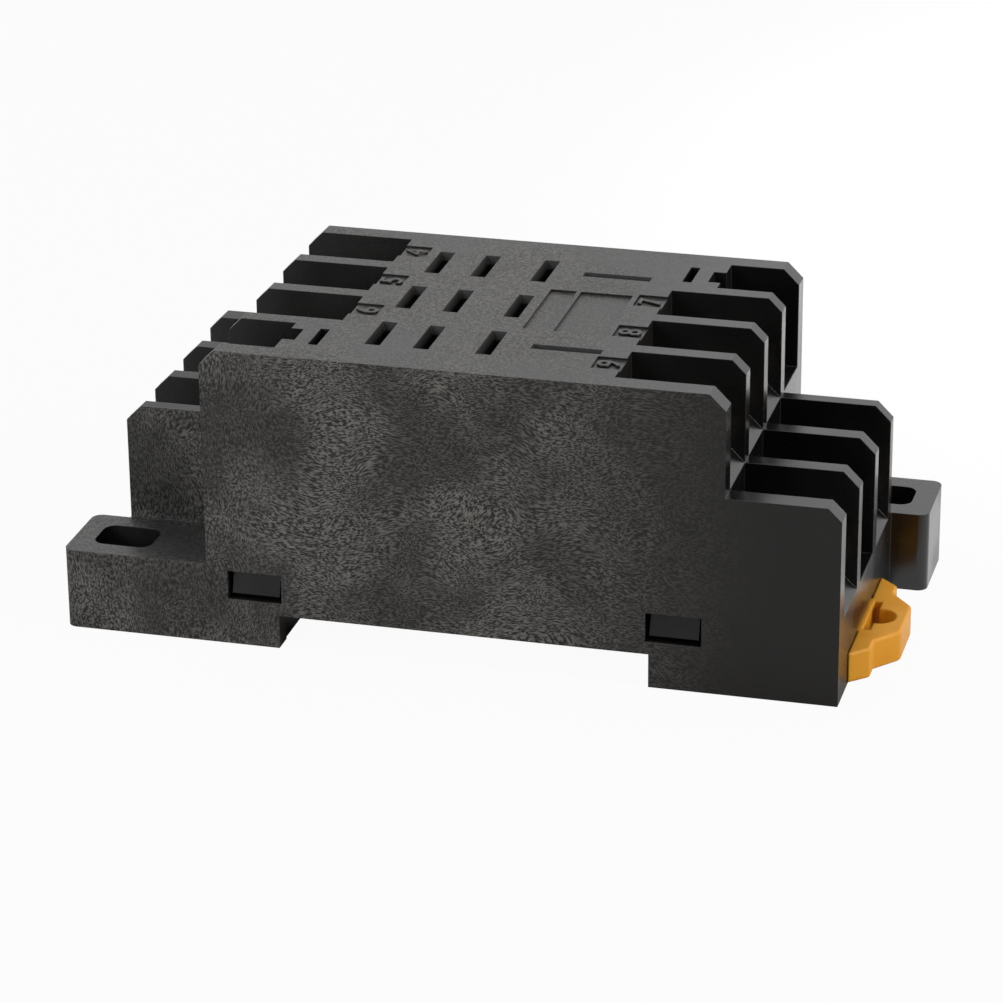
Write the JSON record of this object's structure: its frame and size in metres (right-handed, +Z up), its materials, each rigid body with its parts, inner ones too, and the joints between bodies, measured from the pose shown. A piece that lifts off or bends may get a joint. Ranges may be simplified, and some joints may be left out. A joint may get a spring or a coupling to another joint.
{
  "type": "relay socket",
  "caption": "Track-mounted socket for a plug-in relay: black moulded housing with screw terminals on two tiers at each end, blade slots in its deck, slotted ears and a sprung rail clip.",
  "frame": {"origin": "midway along the rail channel and across the width, at the level of the feet", "axes": "+X along the socket towards the end with the rail clip, +Z up from the feet to the deck, +Y across the socket, along the rail"},
  "size_m": [0.0781, 0.036, 0.0293],
  "materials": {
    "housing_plastic": "black glass-filled moulding, half gloss",
    "cover_plastic": "black glass-filled moulding, half gloss",
    "clip_plastic": "orange-yellow acetal, satin",
    "terminal_brass": "tinned brass strip",
    "contact_bronze": "bare phosphor bronze strip",
    "clamp_steel": "nickel-plated steel",
    "screw_steel": "nickel-plated steel"
  },
  "bodies": {
    "socket": {"housing": "housing_plastic", "base_cover": "cover_plastic", "terminal_1": "terminal_brass", "terminal_2": "terminal_brass", "terminal_3": "terminal_brass", "terminal_4": "terminal_brass", "terminal_5": "terminal_brass", "terminal_6": "terminal_brass", "terminal_7": "terminal_brass", "terminal_8": "terminal_brass", "terminal_9": "terminal_brass", "terminal_10": "terminal_brass", "terminal_11": "terminal_brass", "contact_1": "contact_bronze", "contact_2": "contact_bronze", "contact_3": "contact_bronze", "contact_4": "contact_bronze", "contact_5": "contact_bronze", "contact_6": "contact_bronze", "contact_7": "contact_bronze", "contact_8": "contact_bronze", "contact_9": "contact_bronze", "contact_10": "contact_bronze", "contact_11": "contact_bronze"},
    "rail_clip": {"rail_clip": "clip_plastic"},
    "clamp_1": {"clamp_1": "clamp_steel"},
    "screw_1": {"screw_1": "screw_steel"},
    "clamp_2": {"clamp_2": "clamp_steel"},
    "screw_2": {"screw_2": "screw_steel"},
    "clamp_3": {"clamp_3": "clamp_steel"},
    "screw_3": {"screw_3": "screw_steel"},
    "clamp_4": {"clamp_4": "clamp_steel"},
    "screw_4": {"screw_4": "screw_steel"},
    "clamp_5": {"clamp_5": "clamp_steel"},
    "screw_5": {"screw_5": "screw_steel"},
    "clamp_6": {"clamp_6": "clamp_steel"},
    "screw_6": {"screw_6": "screw_steel"},
    "clamp_7": {"clamp_7": "clamp_steel"},
    "screw_7": {"screw_7": "screw_steel"},
    "clamp_8": {"clamp_8": "clamp_steel"},
    "screw_8": {"screw_8": "screw_steel"},
    "clamp_9": {"clamp_9": "clamp_steel"},
    "screw_9": {"screw_9": "screw_steel"},
    "clamp_10": {"clamp_10": "clamp_steel"},
    "screw_10": {"screw_10": "screw_steel"},
    "clamp_11": {"clamp_11": "clamp_steel"},
    "screw_11": {"screw_11": "screw_steel"}
  },
  "joints": [
    {"name": "rail_clip_pull", "type": "slide", "parent": "socket", "child": "rail_clip", "axis": [1, 0, 0], "range_m": [0, 0.0025], "stiffness_N_per_m": 1200, "springref_m": -0.001},
    {"name": "clamp_1_lift", "type": "slide", "parent": "socket", "child": "clamp_1", "axis": [0, 0, 1], "range_m": [0, 0.0024]},
    {"name": "screw_1_turn", "type": "hinge", "parent": "clamp_1", "child": "screw_1", "pos_m": [-0.02925, 0.01252, 0.0104], "axis": [0, 0, 1], "range_deg": [0, 1440]},
    {"name": "clamp_2_lift", "type": "slide", "parent": "socket", "child": "clamp_2", "axis": [0, 0, 1], "range_m": [0, 0.0024]},
    {"name": "screw_2_turn", "type": "hinge", "parent": "clamp_2", "child": "screw_2", "pos_m": [-0.02925, 0.00417, 0.0104], "axis": [0, 0, 1], "range_deg": [0, 1440]},
    {"name": "clamp_3_lift", "type": "slide", "parent": "socket", "child": "clamp_3", "axis": [0, 0, 1], "range_m": [0, 0.0024]},
    {"name": "screw_3_turn", "type": "hinge", "parent": "clamp_3", "child": "screw_3", "pos_m": [-0.02925, -0.00417, 0.0104], "axis": [0, 0, 1], "range_deg": [0, 1440]},
    {"name": "clamp_4_lift", "type": "slide", "parent": "socket", "child": "clamp_4", "axis": [0, 0, 1], "range_m": [0, 0.0024]},
    {"name": "screw_4_turn", "type": "hinge", "parent": "clamp_4", "child": "screw_4", "pos_m": [-0.0186, 0.01252, 0.0219], "axis": [0, 0, 1], "range_deg": [0, 1440]},
    {"name": "clamp_5_lift", "type": "slide", "parent": "socket", "child": "clamp_5", "axis": [0, 0, 1], "range_m": [0, 0.0024]},
    {"name": "screw_5_turn", "type": "hinge", "parent": "clamp_5", "child": "screw_5", "pos_m": [-0.0186, 0.00417, 0.0219], "axis": [0, 0, 1], "range_deg": [0, 1440]},
    {"name": "clamp_6_lift", "type": "slide", "parent": "socket", "child": "clamp_6", "axis": [0, 0, 1], "range_m": [0, 0.0024]},
    {"name": "screw_6_turn", "type": "hinge", "parent": "clamp_6", "child": "screw_6", "pos_m": [-0.0186, -0.00417, 0.0219], "axis": [0, 0, 1], "range_deg": [0, 1440]},
    {"name": "clamp_7_lift", "type": "slide", "parent": "socket", "child": "clamp_7", "axis": [0, 0, 1], "range_m": [0, 0.0024]},
    {"name": "screw_7_turn", "type": "hinge", "parent": "clamp_7", "child": "screw_7", "pos_m": [0.0186, 0.00417, 0.0219], "axis": [0, 0, 1], "range_deg": [0, 1440]},
    {"name": "clamp_8_lift", "type": "slide", "parent": "socket", "child": "clamp_8", "axis": [0, 0, 1], "range_m": [0, 0.0024]},
    {"name": "screw_8_turn", "type": "hinge", "parent": "clamp_8", "child": "screw_8", "pos_m": [0.0186, -0.00417, 0.0219], "axis": [0, 0, 1], "range_deg": [0, 1440]},
    {"name": "clamp_9_lift", "type": "slide", "parent": "socket", "child": "clamp_9", "axis": [0, 0, 1], "range_m": [0, 0.0024]},
    {"name": "screw_9_turn", "type": "hinge", "parent": "clamp_9", "child": "screw_9", "pos_m": [0.0186, -0.01252, 0.0219], "axis": [0, 0, 1], "range_deg": [0, 1440]},
    {"name": "clamp_10_lift", "type": "slide", "parent": "socket", "child": "clamp_10", "axis": [0, 0, 1], "range_m": [0, 0.0024]},
    {"name": "screw_10_turn", "type": "hinge", "parent": "clamp_10", "child": "screw_10", "pos_m": [0.02925, 0.00417, 0.0104], "axis": [0, 0, 1], "range_deg": [0, 1440]},
    {"name": "clamp_11_lift", "type": "slide", "parent": "socket", "child": "clamp_11", "axis": [0, 0, 1], "range_m": [0, 0.0024]},
    {"name": "screw_11_turn", "type": "hinge", "parent": "clamp_11", "child": "screw_11", "pos_m": [0.02925, -0.01252, 0.0104], "axis": [0, 0, 1], "range_deg": [0, 1440]}
  ],
  "couplings": [
    {"joint": "screw_1_turn", "follows": "clamp_1_lift", "rad_per_m": 10472},
    {"joint": "screw_2_turn", "follows": "clamp_2_lift", "rad_per_m": 10472},
    {"joint": "screw_3_turn", "follows": "clamp_3_lift", "rad_per_m": 10472},
    {"joint": "screw_4_turn", "follows": "clamp_4_lift", "rad_per_m": 10472},
    {"joint": "screw_5_turn", "follows": "clamp_5_lift", "rad_per_m": 10472},
    {"joint": "screw_6_turn", "follows": "clamp_6_lift", "rad_per_m": 10472},
    {"joint": "screw_7_turn", "follows": "clamp_7_lift", "rad_per_m": 10472},
    {"joint": "screw_8_turn", "follows": "clamp_8_lift", "rad_per_m": 10472},
    {"joint": "screw_9_turn", "follows": "clamp_9_lift", "rad_per_m": 10472},
    {"joint": "screw_10_turn", "follows": "clamp_10_lift", "rad_per_m": 10472},
    {"joint": "screw_11_turn", "follows": "clamp_11_lift", "rad_per_m": 10472}
  ]
}
